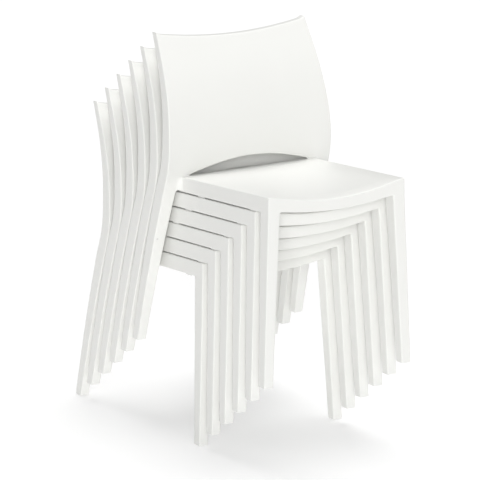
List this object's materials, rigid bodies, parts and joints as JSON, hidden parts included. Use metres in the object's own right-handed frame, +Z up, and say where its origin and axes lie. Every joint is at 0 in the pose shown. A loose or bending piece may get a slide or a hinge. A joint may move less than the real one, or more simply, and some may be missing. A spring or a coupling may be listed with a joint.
{
  "type": "stacking chair",
  "caption": "White moulded plastic stacking chairs nested in a stack, each a one-piece shell with splayed legs, a dished seat and a curved slotted back.",
  "frame": {"origin": "centre of the stack's bounding box on the floor", "axes": "+X across the seats, +Y from the seats to the backs, +Z up; the chairs face -Y"},
  "size_m": [0.502, 0.8513, 1.0172],
  "materials": {
    "shell": "satin white, fine moulded grain",
    "feet": "matte off-white",
    "plugs": "smooth white",
    "pads": "matte pale grey"
  },
  "bodies": {
    "chair_1": {"chair_1_shell": "shell", "chair_1_foot_front_left": "feet", "chair_1_foot_front_right": "feet", "chair_1_foot_rear_left": "feet", "chair_1_foot_rear_right": "feet", "chair_1_plug_left": "plugs", "chair_1_plug_right": "plugs", "chair_1_stacking_pads": "pads"},
    "chair_2": {"chair_2_shell": "shell", "chair_2_foot_front_left": "feet", "chair_2_foot_front_right": "feet", "chair_2_foot_rear_left": "feet", "chair_2_foot_rear_right": "feet", "chair_2_plug_left": "plugs", "chair_2_plug_right": "plugs", "chair_2_stacking_pads": "pads"},
    "chair_3": {"chair_3_shell": "shell", "chair_3_foot_front_left": "feet", "chair_3_foot_front_right": "feet", "chair_3_foot_rear_left": "feet", "chair_3_foot_rear_right": "feet", "chair_3_plug_left": "plugs", "chair_3_plug_right": "plugs", "chair_3_stacking_pads": "pads"},
    "chair_4": {"chair_4_shell": "shell", "chair_4_foot_front_left": "feet", "chair_4_foot_front_right": "feet", "chair_4_foot_rear_left": "feet", "chair_4_foot_rear_right": "feet", "chair_4_plug_left": "plugs", "chair_4_plug_right": "plugs", "chair_4_stacking_pads": "pads"},
    "chair_5": {"chair_5_shell": "shell", "chair_5_foot_front_left": "feet", "chair_5_foot_front_right": "feet", "chair_5_foot_rear_left": "feet", "chair_5_foot_rear_right": "feet", "chair_5_plug_left": "plugs", "chair_5_plug_right": "plugs", "chair_5_stacking_pads": "pads"},
    "chair_6": {"chair_6_shell": "shell", "chair_6_foot_front_left": "feet", "chair_6_foot_front_right": "feet", "chair_6_foot_rear_left": "feet", "chair_6_foot_rear_right": "feet", "chair_6_plug_left": "plugs", "chair_6_plug_right": "plugs", "chair_6_stacking_pads": "pads"}
  },
  "joints": [
    {"name": "lift_chair_2", "type": "slide", "parent": "chair_1", "child": "chair_2", "axis": [0, -0.7967, 0.6043], "range_m": [0, 0.65]},
    {"name": "lift_chair_3", "type": "slide", "parent": "chair_2", "child": "chair_3", "axis": [0, -0.7967, 0.6043], "range_m": [0, 0.65]},
    {"name": "lift_chair_4", "type": "slide", "parent": "chair_3", "child": "chair_4", "axis": [0, -0.7967, 0.6043], "range_m": [0, 0.65]},
    {"name": "lift_chair_5", "type": "slide", "parent": "chair_4", "child": "chair_5", "axis": [0, -0.7967, 0.6043], "range_m": [0, 0.65]},
    {"name": "lift_chair_6", "type": "slide", "parent": "chair_5", "child": "chair_6", "axis": [0, -0.7967, 0.6043], "range_m": [0, 0.65]}
  ]
}
